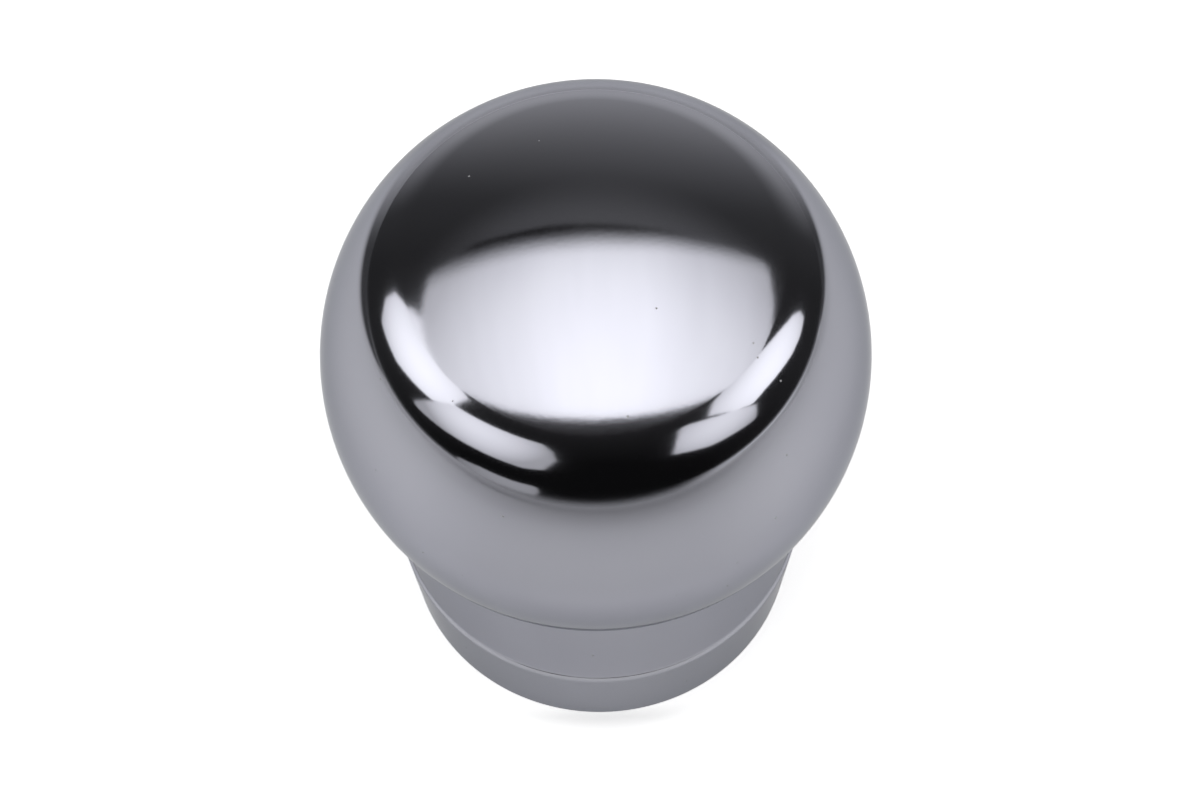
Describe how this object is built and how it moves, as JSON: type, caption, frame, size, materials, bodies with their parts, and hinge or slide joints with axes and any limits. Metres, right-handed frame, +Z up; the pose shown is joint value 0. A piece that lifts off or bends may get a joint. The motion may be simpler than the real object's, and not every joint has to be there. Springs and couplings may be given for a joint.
{
  "type": "gear shift knob",
  "caption": "Polished round gear shift knob with a flattened crown, a straight neck, a seamed base ring and a tapped socket below for the shift lever.",
  "frame": {"origin": "centre of the flat base ring's lower face, which it stands on", "axes": "+Z up along the turning axis, from the base to the crown"},
  "size_m": [0.05, 0.05, 0.06],
  "materials": {
    "polished_body": "mirror-polished turned steel, faintly hazed on the crown",
    "polished_ring": "polished turned steel, a little darker and less bright than the body"
  },
  "bodies": {
    "root": {"knob_body": "polished_body", "base_ring": "polished_ring"}
  },
  "joints": []
}
